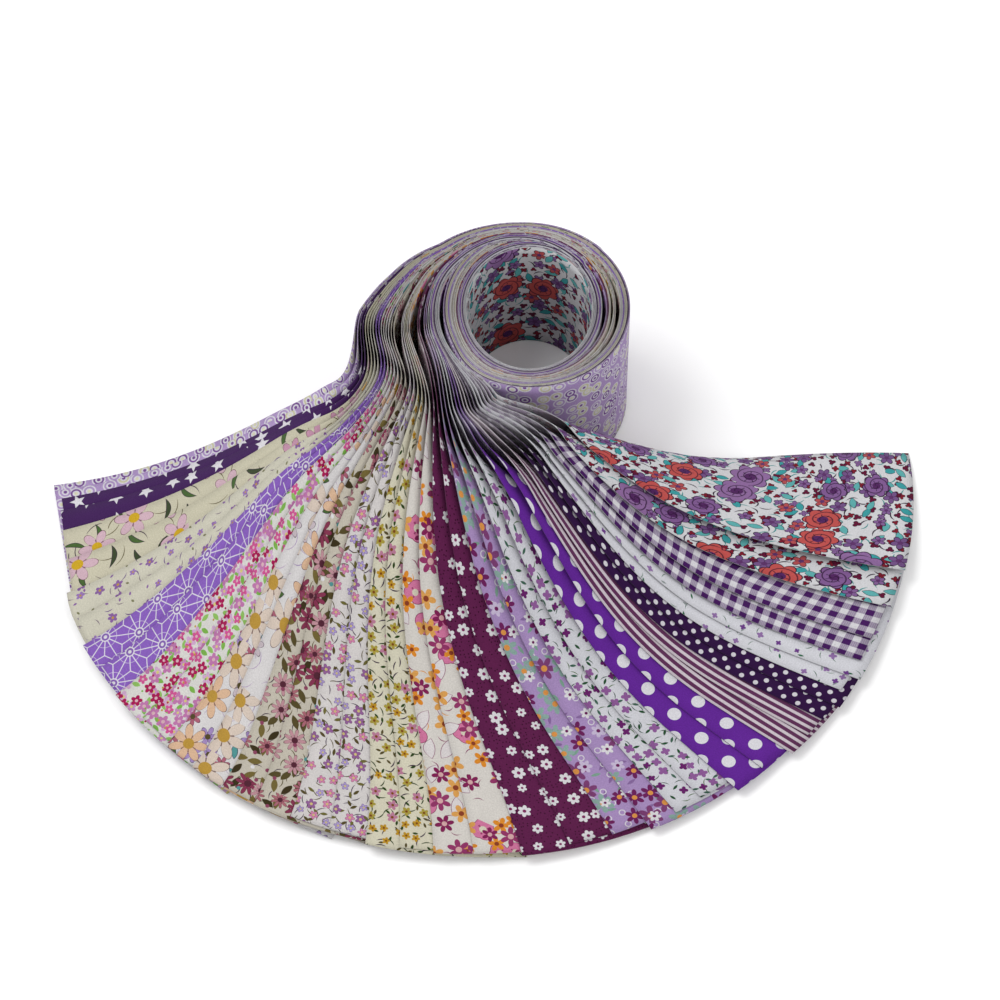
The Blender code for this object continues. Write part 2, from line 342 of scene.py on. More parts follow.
def roll_radius(bearing, number):
    """Radius of one strip in the roll; its bearing is over 360 in the second turn."""
    share = (COUNT - number + 0.5) / COUNT
    inner = hollow(bearing)
    around = (bearing + 90) % 360 - 90
    if bearing < CLOSED_TO:
        return inner + share * FIRST_TURN
    if bearing < 360 + START_FIRST:
        outer = table(OUTER, around if around < START_OUTER else -90)
        blend = smooth((bearing - CLOSED_TO) / OPEN_RUN)
        thick = FIRST_TURN + (outer - inner - FIRST_TURN) * blend
        return inner + ring_place(bearing, number, share, thick)
    middle = inner + first_layer(around)
    middle_there = hollow(LOOSE_AT) + FIRST_TURN
    if around > LOOSE_AT:
        return middle + TURN_GAP + table(LOOSE, number) - middle_there
    outer = table(OUTER, around)
    group = (table(LOOSE, number) - middle_there) / (table(OUTER, LOOSE_AT) - middle_there)
    mix = smooth((around - MIX_FROM) / MIX_RUN)
    return middle + TURN_GAP + (outer - middle) * (share + (group - share) * mix)


def roll_path(number, foot, heading):
    """Plan line of the wound part, from inside the roll to the neck."""
    start = np.array(foot)
    centre = np.array([ROLL_X, ROLL_Y])
    vector = start - centre
    leave = 360 + math.degrees(math.atan2(vector[1], vector[0])) % 360 - LEAVE_BEFORE
    points = []
    for bearing in np.arange(leave, PATH_FROM, -BEARING_STEP):
        points.append(centre + roll_radius(bearing, number) * unit(bearing))
    points = points[::-1]
    first = points[-1]
    way = points[-1] - points[-3]
    way = way / np.linalg.norm(way)
    pull = np.linalg.norm(start - first) * NECK_PULL
    knots = (first, first + way * pull, start - heading * pull, start)
    turn = bezier(*knots, np.linspace(0, 1, NECK_ROWS)[1:-1])[:, 0]
    return np.concatenate([np.array(points), turn, start[None]])


def resample(path, length, step):
    """The last part of a line, of the given length, at even steps; it ends where the line ends."""
    back = path[::-1]
    run = np.concatenate([[0], np.cumsum(np.linalg.norm(np.diff(back, axis=0), axis=1))])
    count = int(length / step)
    at = np.linspace(0, length, count + 1)
    out = np.stack([np.interp(at, run, back[:, k]) for k in range(2)], -1)
    return out[::-1], at[::-1]


def strip_points(data, number, across, random):
    """Whole strip: wound part first, then the loose end."""
    share = np.linspace(0, 1, ROWS_FAN)
    loose = settle(fan_points(data, number, across), share, number, random)
    middle = loose[:, len(across) // 2]
    loose_length = float(np.sum(np.linalg.norm(np.diff(middle, axis=0), axis=1)))
    here = int(round((number - data["number"][0]) / FINE))
    foot = data["foot"][:, here]
    heading = foot[1] - foot[0]
    heading = heading / np.linalg.norm(heading)
    path = roll_path(number, foot[0], heading)
    plan, to_go = resample(path, LENGTH - loose_length, ROLL_STEP)
    plan = plan[:-1]
    to_go = to_go[:-1]
    lean = loose[0] - loose[0, :1]
    rise = random.uniform(-UNEVEN, UNEVEN)
    wound = np.zeros((len(plan), len(across), 3))
    for row in range(len(plan)):
        part = 1 - smooth(to_go[row] / TWIST_RUN)
        wound[row, :, 0] = plan[row, 0] + lean[:, 0] * part
        wound[row, :, 1] = plan[row, 1] + lean[:, 1] * part
        upright = across * (WIDTH - UNEVEN) + rise * (1 - part)
        wound[row, :, 2] = LIFT + upright * (1 - part) + lean[:, 2] * part
    wound[..., 2] = np.maximum(wound[..., 2], FLOOR_GAP)
    return soften(np.concatenate([wound, loose]), len(plan))


class Print:
    """A procedural print in millimetres of cloth: x across the strip, y along it."""

    def __init__(self, name, ground, seed):
        self.mat = bpy.data.materials.new(name)
        self.mat.use_nodes = True
        self.tree = self.mat.node_tree
        self.nodes = self.tree.nodes
        self.shader = self.nodes["Principled BSDF"]
        self.seed = seed
        uv = self.nodes.new("ShaderNodeUVMap")
        uv.uv_map = "cloth"
        scale = self.nodes.new("ShaderNodeVectorMath")
        scale.operation = "SCALE"
        scale.inputs["Scale"].default_value = 1000.0
        self.join(uv.outputs[0], scale.inputs[0])
        self.mm = scale.outputs[0]
        self.colour = self.rgb(ground)

    def join(self, a, b):
        self.tree.links.new(a, b)

    def put(self, value, socket):
        if isinstance(value, (int, float)):
            socket.default_value = value
        elif isinstance(value, tuple):
            socket.default_value = value if len(value) == len(socket.default_value) else (*value, 1)
        else:
            self.join(value, socket)

    def rgb(self, colour):
        node = self.nodes.new("ShaderNodeRGB")
        node.outputs[0].default_value = (*colour, 1)
        return node.outputs[0]

    def math(self, how, a, b=0.0, c=0.0, clamp=False):
        node = self.nodes.new("ShaderNodeMath")
        node.operation = how
        node.use_clamp = clamp
        self.put(a, node.inputs[0])
        self.put(b, node.inputs[1])
        self.put(c, node.inputs[2])
        return node.outputs[0]

    def vector(self, how, a, b=(0.0, 0.0, 0.0), scale=1.0):
        node = self.nodes.new("ShaderNodeVectorMath")
        node.operation = how
        self.put(a, node.inputs[0])
        if how == "SCALE":
            self.put(scale, node.inputs["Scale"])
        else:
            self.put(b, node.inputs[1])
        return node.outputs["Value"] if how in ("LENGTH", "DOT_PRODUCT") else node.outputs["Vector"]

    def axes(self, vector):
        node = self.nodes.new("ShaderNodeSeparateXYZ")
        self.join(vector, node.inputs[0])
        return node.outputs[0], node.outputs[1]

    def inside(self, edge, soft=0.12):
        """1 where edge is above 0, with a soft rim in millimetres."""
        return self.math("DIVIDE", edge, soft, clamp=True)

    def mix(self, mask, colour):
        node = self.nodes.new("ShaderNodeMix")
        node.data_type = "RGBA"
        self.put(mask, node.inputs["Factor"])
        self.join(self.colour, node.inputs[6])
        self.put(colour if not isinstance(colour, tuple) else (*colour, 1), node.inputs[7])
        self.colour = node.outputs[2]

    def paint(self, edge, shown, colour):
        """Colour inside an edge, only where shown is 1."""
        self.mix(self.math("MULTIPLY", self.inside(edge), shown), colour)

    def some(self, chance, show):
        """1 for the given share of the scattered places."""
        return self.math("LESS_THAN", chance, show) if show < 1 else 1.0

    def cells(self, size, jitter=0.7):
        """Offset from the nearest of many scattered places, and that place's three random numbers."""
        self.seed += 1
        move = self.vector("ADD", self.mm, (self.seed * 37.3, self.seed * 91.7, 0.0))
        scaled = self.vector("MULTIPLY", move, (1 / size, 1 / size, 0.0))
        node = self.nodes.new("ShaderNodeTexVoronoi")
        node.voronoi_dimensions = "2D"
        node.inputs["Scale"].default_value = 1.0
        node.inputs["Randomness"].default_value = jitter
        self.join(scaled, node.inputs["Vector"])
        offset = self.vector("SUBTRACT", scaled, node.outputs["Position"])
        offset = self.vector("MULTIPLY", offset, (size, size, 0.0))
        split = self.nodes.new("ShaderNodeSeparateColor")
        self.join(node.outputs["Color"], split.inputs[0])
        return offset, split.outputs[0], split.outputs[1], split.outputs[2]

    def spin(self, offset, turns):
        node = self.nodes.new("ShaderNodeVectorRotate")
        node.rotation_type = "Z_AXIS"
        self.join(offset, node.inputs["Vector"])
        self.join(self.math("MULTIPLY", turns, FULL_TURN), node.inputs["Angle"])
        return node.outputs[0]

    def pick(self, chance, colours):
        """One of several colours by a random number."""
        if len(colours) == 1:
            return self.rgb(colours[0])
        node = self.nodes.new("ShaderNodeValToRGB")
        node.color_ramp.interpolation = "CONSTANT"
        ramp = node.color_ramp.elements
        ramp[1].position = 1 / len(colours)
        for index in range(2, len(colours)):
            ramp.new(index / len(colours))
        for element, colour in zip(ramp, colours):
            element.color = (*colour, 1)
        self.join(chance, node.inputs[0])
        return node.outputs[0]

    def flowers(self, size, radius, petals, colours, heart=None, line=None, show=1.0, depth=0.45,
                jitter=0.6, width=0.25):
        """Flat flowers with rounded petals, an outline, veins and a heart."""
        offset, turns, chance, tone = self.cells(size, jitter)
        offset = self.spin(offset, turns)
        x, y = self.axes(offset)
        angle = self.math("ARCTAN2", y, x)
        wave = self.math("COSINE", self.math("MULTIPLY", angle, float(petals)))
        lobe = self.math("POWER", self.math("MULTIPLY_ADD", wave, 0.5, 0.5), 0.5)
        reach = self.math("MULTIPLY_ADD", tone, radius * 0.35, radius * 0.8)
        edge = self.math("MULTIPLY", self.math("MULTIPLY_ADD", lobe, depth, 1 - depth), reach)
        away = self.vector("LENGTH", offset)
        shown = self.some(chance, show)
        inner = self.math("SUBTRACT", edge, away)
        fresh = self.pick(tone, colours)
        if line:
            self.paint(inner, shown, line)
            inner = self.math("SUBTRACT", inner, width)
        self.paint(inner, shown, fresh)
        if line:
            spoke = self.math("GREATER_THAN", self.math("COSINE", self.math("MULTIPLY", angle, petals)),
                              -0.86)
            near = self.math("LESS_THAN", away, self.math("MULTIPLY", reach, 0.45))
            vein = self.math("MULTIPLY", self.math("SUBTRACT", 1.0, spoke), near)
            self.mix(self.math("MULTIPLY", self.math("MULTIPLY", vein, shown), 0.7), line)
        if heart:
            core = self.math("SUBTRACT", self.math("MULTIPLY", reach, 0.28), away)
            self.paint(core, shown, heart)

    def leaves(self, size, length, width, colours, show=1.0, line=None, jitter=0.8, bend=0.0):
        """Pointed leaves, straight or bent; a very narrow one is a stem."""
        offset, turns, chance, tone = self.cells(size, jitter)
        x, y = self.axes(self.spin(offset, turns))
        if bend:
            y = self.math("ADD", y, self.math("MULTIPLY", self.math("MULTIPLY", x, x), bend))
        along = self.math("DIVIDE", x, length / 2)
        room = self.math("SUBTRACT", 1.0, self.math("MULTIPLY", along, along))
        edge = self.math("SUBTRACT", self.math("MULTIPLY", room, width / 2), self.math("ABSOLUTE", y))
        shown = self.some(chance, show)
        if line:
            self.paint(edge, shown, line)
            edge = self.math("SUBTRACT", edge, 0.22)
        self.paint(edge, shown, self.pick(tone, colours))

    def dots(self, size, radius, colours, show=1.0, jitter=0.8):
        offset, turns, chance, tone = self.cells(size, jitter)
        edge = self.math("SUBTRACT", radius, self.vector("LENGTH", offset))
        shown = self.some(chance, show)
        self.paint(edge, shown, self.pick(tone, colours))

    def rings(self, size, radius, width, colour, show=1.0, jitter=0.6):
        offset, turns, chance, tone = self.cells(size, jitter)
        away = self.math("ABSOLUTE", self.math("SUBTRACT", self.vector("LENGTH", offset), radius))
        shown = self.some(chance, show)
        self.paint(self.math("SUBTRACT", width / 2, away), shown, colour)

    def spots(self, step_x, step_y, radius, colour):
        """Dots on an even grid whose every other row is moved by half a step."""
        x, y = self.axes(self.vector("ADD", self.mm, GRID_MOVE))
        row = self.math("FLOOR", self.math("DIVIDE", y, step_y))
        odd = self.math("MULTIPLY", self.math("MODULO", row, 2.0), step_x / 2)
        x = self.math("SUBTRACT", self.math("MODULO", self.math("ADD", x, odd), step_x), step_x / 2)
        y = self.math("SUBTRACT", self.math("MODULO", y, step_y), step_y / 2)
        away = self.math("SQRT",
                         self.math("ADD", self.math("MULTIPLY", x, x), self.math("MULTIPLY", y, y)))
        self.mix(self.inside(self.math("SUBTRACT", radius, away)), colour)

    def finish(self, wrong=0.0):
        """Weave, slight fading and the shader; wrong above 0 is the paler back of the cloth."""
        noise = self.nodes.new("ShaderNodeTexNoise")
        noise.inputs["Scale"].default_value = 0.09
        noise.inputs["Detail"].default_value = 3.0
        self.join(self.mm, noise.inputs["Vector"])
        thread = self.nodes.new("ShaderNodeTexNoise")
        thread.inputs["Scale"].default_value = 1.7
        thread.inputs["Detail"].default_value = 1.0
        self.join(self.mm, thread.inputs["Vector"])
        fine = self.math("MULTIPLY_ADD", thread.outputs[0], 0.45, 0.775)
        shade = self.math("MULTIPLY_ADD", noise.outputs[0], 0.14 * FADE, 0.93 * FADE)
        shade = self.math("MULTIPLY", shade, fine)
        deep = self.nodes.new("ShaderNodeGamma")
        deep.inputs["Gamma"].default_value = CONTRAST
        self.join(self.colour, deep.inputs["Color"])
        self.colour = deep.outputs[0]
        tint = self.nodes.new("ShaderNodeMix")
        tint.data_type = "RGBA"
        tint.blend_type = "MULTIPLY"
        tint.inputs["Factor"].default_value = 1.0
        grey = self.nodes.new("ShaderNodeCombineColor")
        for socket in grey.inputs[:3]:
            self.join(shade, socket)
        self.join(self.colour, tint.inputs[6])
        self.join(grey.outputs[0], tint.inputs[7])
        self.colour = tint.outputs[2]
        if wrong:
            self.mix(wrong, (0.48, 0.46, 0.48))
        self.join(self.colour, self.shader.inputs["Base Color"])
        self.shader.inputs["Roughness"].default_value = 0.92
        self.shader.inputs["Specular IOR Level"].default_value = 0.08
        self.shader.inputs["Sheen Weight"].default_value = 0.03
        self.shader.inputs["Sheen Roughness"].default_value = 0.5
        x, y = self.axes(self.mm)
        weave = self.math("MULTIPLY", self.math("SINE", self.math("MULTIPLY", x, 14.0)),
                          self.math("SINE", self.math("MULTIPLY", y, 14.0)))
        slub = self.nodes.new("ShaderNodeTexNoise")
        slub.inputs["Scale"].default_value = 0.5
        slub.inputs["Detail"].default_value = 2.0
        self.join(self.mm, slub.inputs["Vector"])
        high = self.math("MULTIPLY_ADD", weave, 0.25, slub.outputs[0])
        crease = self.nodes.new("ShaderNodeTexNoise")
        crease.inputs["Scale"].default_value = 0.045
        crease.inputs["Detail"].default_value = 2.0
        crease.inputs["Distortion"].default_value = 0.6
        self.join(self.mm, crease.inputs["Vector"])
        high = self.math("MULTIPLY_ADD", crease.outputs[0], 6.0, high)
        bump = self.nodes.new("ShaderNodeBump")
        bump.inputs["Strength"].default_value = 0.45
        bump.inputs["Distance"].default_value = 0.0003
        self.join(high, bump.inputs["Height"])
        self.join(bump.outputs[0], self.shader.inputs["Normal"])
        return self.mat


# colours of the prints, as linear red, green and blue
WHITE = (0.80, 0.79, 0.81)
CREAM = (0.76, 0.72, 0.60)
LILAC = (0.48, 0.36, 0.63)
PURPLE = (0.19, 0.08, 0.33)
DARK = (0.07, 0.03, 0.09)
GREEN = (0.13, 0.22, 0.08)
BRIGHT = (0.30, 0.55, 0.14)
TEAL = (0.16, 0.42, 0.42)
ROSE = (0.52, 0.20, 0.27)
ORANGE = (0.80, 0.40, 0.13)
MUSTARD = (0.62, 0.43, 0.10)
OLIVE = (0.16, 0.13, 0.055)


def lilac_oval(p):
    offset, turns, chance, tone = p.cells(6.2, 0.5)
    away = p.vector("LENGTH", offset)
    p.mix(p.inside(p.math("SUBTRACT", 2.9, away)), (0.80, 0.78, 0.84))
    p.mix(p.inside(p.math("SUBTRACT", 2.3, away)),
          p.pick(tone, [(0.30, 0.15, 0.42), (0.55, 0.42, 0.68), (0.72, 0.70, 0.50)]))
    p.mix(p.inside(p.math("SUBTRACT", 1.5, away)), (0.80, 0.78, 0.84))
    p.mix(p.inside(p.math("SUBTRACT", 0.8, away)),
          p.pick(chance, [(0.30, 0.15, 0.42), (0.80, 0.78, 0.60)]))


def purple_star(p):
    offset, turns, chance, tone = p.cells(12.0, 0.5)
    x, y = p.axes(p.spin(offset, turns))
    fold = p.math("PINGPONG", p.math("ADD", p.math("ARCTAN2", y, x), math.pi), math.pi / 5)
    away = p.vector("LENGTH", offset)
    tip, notch = 3.5, 1.55
    to_x, to_y = notch * math.cos(math.pi / 5) - tip, notch * math.sin(math.pi / 5)
    side = math.hypot(to_x, to_y)
    down = p.math("MULTIPLY", p.math("MULTIPLY", away, p.math("SINE", fold)), to_x / side)
    right = p.math("SUBTRACT", p.math("MULTIPLY", away, p.math("COSINE", fold)), tip)
    p.mix(p.inside(p.math("SUBTRACT", down, p.math("MULTIPLY", right, to_y / side))), (0.84, 0.82, 0.86))


def cream_lily(p):
    p.leaves(9, 12, 0.5, (OLIVE, DARK), show=0.75, bend=0.08)
    p.leaves(10, 11, 2.4, (GREEN, (0.10, 0.13, 0.07)), show=0.6, jitter=1.0, bend=0.06, line=DARK)
    p.flowers(19, 8.0, 6, ((0.66, 0.40, 0.52), (0.74, 0.55, 0.62)), heart=(0.72, 0.50, 0.05),
              line=(0.20, 0.08, 0.13), show=0.62, depth=0.6)
    p.leaves(15, 9, 3.4, ((0.80, 0.48, 0.06), (0.72, 0.58, 0.10)), show=0.4, line=(0.30, 0.10, 0.06))


def cream_sprig(p):
    p.leaves(6.5, 4.2, 0.5, (PURPLE, (0.30, 0.24, 0.30)), show=0.7, bend=0.15)
    p.leaves(5.5, 1.8, 1.0, ((0.36, 0.20, 0.46), (0.30, 0.30, 0.18)), show=0.5)
    p.flowers(7.5, 1.9, 5, ((0.42, 0.26, 0.58), (0.36, 0.20, 0.46)), heart=MUSTARD, show=0.75)


def lilac_lattice(p):
    white = (0.82, 0.80, 0.86)
    step, row = 14.0, 14.0 * math.sqrt(3) / 2
    near = []
    for move in ((LATTICE_MOVE, LATTICE_MOVE, 0.0), (LATTICE_MOVE + step / 2, LATTICE_MOVE + row, 0.0)):
        x, y = p.axes(p.vector("ADD", p.mm, move))
        x = p.math("SUBTRACT", p.math("MODULO", x, step), step / 2)
        y = p.math("SUBTRACT", p.math("MODULO", y, 2 * row), row)
        away = p.math("SQRT", p.math("ADD", p.math("MULTIPLY", x, x), p.math("MULTIPLY", y, y)))
        near.append((x, y, away))
    first = p.math("LESS_THAN", near[0][2], near[1][2])
    second = p.math("SUBTRACT", 1.0, first)
    x, y, away = (p.math("ADD", p.math("MULTIPLY", first, one), p.math("MULTIPLY", second, two))
                  for one, two in zip(*near))
    ray = p.math("PINGPONG", p.math("ADD", p.math("ARCTAN2", y, x), math.pi), math.pi / 12)
    p.mix(p.inside(p.math("SUBTRACT", 0.26, p.math("MULTIPLY", away, p.math("SINE", ray)))), white)
    rim = p.math("ABSOLUTE", p.math("SUBTRACT", away, 4.6))
    p.mix(p.math("MULTIPLY", p.inside(p.math("SUBTRACT", 0.2, rim)), 0.6), white)
    p.mix(p.inside(p.math("SUBTRACT", 2.1, away)), white)
    p.mix(p.inside(p.math("SUBTRACT", 1.6, away)), (0.34, 0.20, 0.55))
    p.mix(p.inside(p.math("SUBTRACT", 0.8, away)), white)


def magenta_posy(p):
    p.leaves(4.2, 4.0, 2.0, (BRIGHT, (0.38, 0.62, 0.20)), show=0.75)
    p.flowers(5.6, 2.5, 5, ((0.66, 0.36, 0.60), (0.72, 0.50, 0.70)), heart=(0.75, 0.68, 0.30), show=0.7)
    p.flowers(5.4, 2.5, 5, ((0.72, 0.16, 0.40), (0.50, 0.03, 0.16), (0.62, 0.28, 0.52)),
              heart=(0.78, 0.55, 0.60), show=0.75)
    p.dots(3.5, 0.5, ((0.50, 0.03, 0.16), MUSTARD, BRIGHT), show=0.35)


def peach_daisy(p):
    p.leaves(6, 9, 0.4, ((0.42, 0.28, 0.55), (0.55, 0.42, 0.60)), show=0.7, bend=0.1)
    p.leaves(10, 7, 3.0, (TEAL, GREEN), show=0.35, line=DARK)
    p.flowers(12, 4.5, 6, (ROSE, LILAC, (0.70, 0.62, 0.66)), heart=OLIVE, line=DARK, show=0.5, depth=0.6)
    p.flowers(17, 9.5, 7, ((0.80, 0.58, 0.42), (0.78, 0.68, 0.60)), heart=(0.60, 0.40, 0.10),
              line=(0.16, 0.08, 0.08), show=0.75, depth=0.6)


def olive_leaf(p):
    p.leaves(5.0, 5.5, 0.5, (DARK, OLIVE), show=0.8, bend=0.15)
    p.leaves(6.0, 6.5, 2.8, (OLIVE, (0.26, 0.21, 0.08), (0.09, 0.07, 0.03)), show=0.8)
    p.flowers(9.5, 4.9, 9, ((0.50, 0.22, 0.26), (0.62, 0.38, 0.42), (0.34, 0.08, 0.15)),
              heart=(0.16, 0.05, 0.08), line=(0.10, 0.03, 0.05), show=0.8, depth=0.6)
    p.dots(6, 0.9, (WHITE, (0.36, 0.11, 0.19), TEAL), show=0.4)


def lavender_posy(p):
    p.leaves(4.2, 5.5, 0.5, (DARK, OLIVE), show=0.85, bend=0.12)
    p.leaves(4.6, 3.4, 1.4, (OLIVE, (0.24, 0.22, 0.08)), show=0.8)
    p.flowers(5.6, 2.1, 5, ((0.50, 0.42, 0.70), (0.72, 0.32, 0.50), (0.40, 0.20, 0.42)),
              heart=(0.72, 0.62, 0.30), line=(0.22, 0.08, 0.20), show=0.85, width=0.15)


def mustard_sprig(p):
    p.leaves(4.2, 5.0, 0.6, ((0.05, 0.09, 0.03), DARK), show=0.9, bend=0.12)
    p.leaves(4.4, 2.6, 1.1, ((0.06, 0.11, 0.03), OLIVE), show=0.85)
    p.flowers(5.8, 2.1, 5, ((0.60, 0.38, 0.05), (0.50, 0.42, 0.10), (0.60, 0.30, 0.42)),
              heart=(0.30, 0.12, 0.03), show=0.75)


def orange_paisley(p):
    p.leaves(8, 5.0, 0.5, (ORANGE, (0.34, 0.09, 0.20)), show=0.6, bend=0.2)
    p.flowers(11, 5.0, 3, ((0.74, 0.28, 0.46),), heart=CREAM, line=(0.30, 0.03, 0.14), show=0.4,
              depth=0.2)
    p.leaves(13, 9.0, 5.0, ((0.80, 0.76, 0.76),), show=0.5, line=(0.30, 0.05, 0.18), bend=0.05)
    p.flowers(9.5, 3.8, 5, ((0.80, 0.36, 0.06), (0.80, 0.46, 0.16)), heart=(0.36, 0.10, 0.05), show=0.6,
              depth=0.6)
    p.flowers(11.5, 4.2, 6, ((0.32, 0.04, 0.16), (0.40, 0.08, 0.22)), heart=(0.75, 0.50, 0.50),
              show=0.5, depth=0.62)


def plum_flower(p):
    p.dots(1.6, 0.35, ((0.08, 0.01, 0.05),), show=0.6)
    p.flowers(8.6, 2.5, 6, (WHITE,), heart=(0.30, 0.05, 0.18), depth=0.38, jitter=0.5)


def lilac_blossom(p):
    p.leaves(6, 4.5, 1.5, ((0.30, 0.46, 0.38), (0.34, 0.22, 0.44)), show=0.5)
    p.rings(6.0, 1.2, 0.5, WHITE, show=0.5)
    p.flowers(9.5, 4.6, 6, ((0.24, 0.04, 0.18), (0.36, 0.50, 0.46), (0.30, 0.10, 0.26)), heart=ORANGE,
              show=0.7, depth=0.6)
    p.flowers(9.0, 2.8, 6, (WHITE, (0.68, 0.60, 0.76)), heart=(0.24, 0.04, 0.18), show=0.55)


def plum_berry(p):
    p.leaves(4.8, 4.5, 0.5, (GREEN, (0.06, 0.13, 0.09)), show=0.8, bend=0.15)
    p.leaves(4.6, 3.2, 1.2, ((0.05, 0.14, 0.07), (0.10, 0.20, 0.15)), show=0.7)
    p.flowers(5.8, 2.0, 4, ((0.22, 0.04, 0.22), (0.38, 0.18, 0.42)), show=0.75)


def purple_dot(p):
    p.spots(15.5, 7.75, 2.9, (0.82, 0.81, 0.85))


def plum_stripe(p):
    x, y = p.axes(p.mm)
    fold = p.math("PINGPONG", p.math("ADD", x, 0.5), 1.55)
    p.mix(p.inside(p.math("SUBTRACT", fold, 0.62)), (0.20, 0.07, 0.17))


def dark_dot(p):
    p.spots(6.4, 3.4, 1.15, (0.78, 0.76, 0.80))


def white_bud(p):
    p.leaves(5.2, 4.2, 0.45, ((0.06, 0.18, 0.10), (0.25, 0.34, 0.28)), show=0.5, bend=0.15)
    p.leaves(6.5, 2.8, 1.0, ((0.06, 0.22, 0.12), (0.40, 0.44, 0.44)), show=0.5)
    p.flowers(7.5, 1.5, 4, ((0.25, 0.10, 0.36), (0.40, 0.25, 0.50)), show=0.7)


def purple_gingham(p):
    x, y = p.axes(p.vector("ADD", p.mm, GRID_MOVE))
    across = p.math("LESS_THAN", p.math("MODULO", x, 5.8), 3.0)
    along = p.math("LESS_THAN", p.math("MODULO", y, 5.8), 3.0)
    both = p.math("MULTIPLY", p.math("ADD", across, along), 0.5)
    thread = p.math("MULTIPLY_ADD", p.math("SINE", p.math("MULTIPLY", y, 9.0)), 0.10, 0.5)
    half = p.math("COMPARE", both, 0.5, 0.1)
    p.mix(p.math("MULTIPLY", half, thread), (0.16, 0.05, 0.24))
    p.mix(p.math("MULTIPLY", across, along), (0.12, 0.03, 0.19))


def rose_floral(p):
    ink = (0.05, 0.02, 0.06)
    p.leaves(4.6, 6.0, 0.7, (ink, TEAL), show=0.9, bend=0.15)
    p.flowers(6.0, 2.0, 4, ((0.34, 0.03, 0.06), (0.34, 0.20, 0.42)), line=ink, show=0.5, width=0.3)
    p.flowers(5.0, 1.7, 3, ((0.34, 0.03, 0.06), (0.22, 0.02, 0.08)), line=ink, show=0.6, width=0.3)
    p.leaves(7.0, 6.5, 3.2, ((0.10, 0.46, 0.48), (0.20, 0.55, 0.55)), show=0.55, line=ink)
    p.flowers(9.5, 3.6, 5, ((0.34, 0.20, 0.42), (0.58, 0.15, 0.16), (0.28, 0.16, 0.36)),
              heart=(0.20, 0.08, 0.24), line=ink, show=0.65, width=0.4)
    p.flowers(20.0, 8.0, 7, ((0.34, 0.19, 0.42), (0.66, 0.16, 0.15), (0.40, 0.24, 0.47)),
              heart=(0.16, 0.05, 0.20), line=ink, show=0.66, depth=0.25, width=0.45)
    # the same places again, for the petals drawn inside the large roses
    p.seed -= 1
    offset, turns, chance, tone = p.cells(20.0, 0.6)
    x, y = p.axes(p.spin(offset, turns))
    away = p.vector("LENGTH", offset)
    twist = p.math("MULTIPLY", p.math("ARCTAN2", y, x), 2.0)
    swirl = p.math("SINE", p.math("ADD", p.math("MULTIPLY", away, 2.4), twist))
    petal = p.math("MULTIPLY", p.math("GREATER_THAN", swirl, 0.78), p.math("LESS_THAN", away, 6.4))
    p.mix(p.math("MULTIPLY", p.math("MULTIPLY", petal, p.math("LESS_THAN", chance, 0.66)), 0.7), ink)


# print and ground colour of each fabric
LOOKS = {
    "lilac_oval": (lilac_oval, (0.55, 0.42, 0.68)),
    "purple_star": (purple_star, (0.115, 0.045, 0.18)),
    "cream_lily": (cream_lily, (0.70, 0.67, 0.54)),
    "cream_sprig": (cream_sprig, (0.72, 0.70, 0.60)),
    "lilac_lattice": (lilac_lattice, (0.36, 0.20, 0.62)),
    "magenta_posy": (magenta_posy, (0.78, 0.77, 0.74)),
    "peach_daisy": (peach_daisy, (0.78, 0.76, 0.76)),
    "olive_leaf": (olive_leaf, (0.66, 0.62, 0.54)),
    "lavender_posy": (lavender_posy, (0.76, 0.73, 0.72)),
    "mustard_sprig": (mustard_sprig, (0.76, 0.73, 0.60)),
    "orange_paisley": (orange_paisley, (0.77, 0.74, 0.70)),
    "plum_flower": (plum_flower, (0.19, 0.035, 0.13)),
    "lilac_blossom": (lilac_blossom, (0.50, 0.37, 0.62)),
    "plum_berry": (plum_berry, (0.74, 0.74, 0.78)),
    "purple_dot": (purple_dot, (0.21, 0.05, 0.42)),
    "plum_stripe": (plum_stripe, (0.74, 0.67, 0.72)),
    "dark_dot": (dark_dot, (0.07, 0.02, 0.11)),
    "white_bud": (white_bud, (0.78, 0.78, 0.82)),
    "purple_gingham": (purple_gingham, (0.80, 0.79, 0.82)),
    "rose_floral": (rose_floral, (0.78, 0.78, 0.80)),
}


def cloth_materials(name, index):
    """Print side, paler back and cut edge of one fabric; the outermost has its print on both sides."""
    made = []
    draw, ground = LOOKS[name]
    for side, wrong in (("print", 0.0), ("back", 0.0 if name == OUTERMOST else 0.5)):
        look = Print(name + "_" + side, ground, index * 7)
        draw(look)
        made.append(look.finish(wrong))
    edge = bpy.data.materials.new(name + "_edge")
    edge.use_nodes = True
    shader = edge.node_tree.nodes["Principled BSDF"]
    shader.inputs["Base Color"].default_value = (*[(0.55 * g + 0.03) * FADE for g in ground], 1)
    shader.inputs["Roughness"].default_value = 1.0
    shader.inputs["Specular IOR Level"].default_value = 0.1
    made.append(edge)
    return made


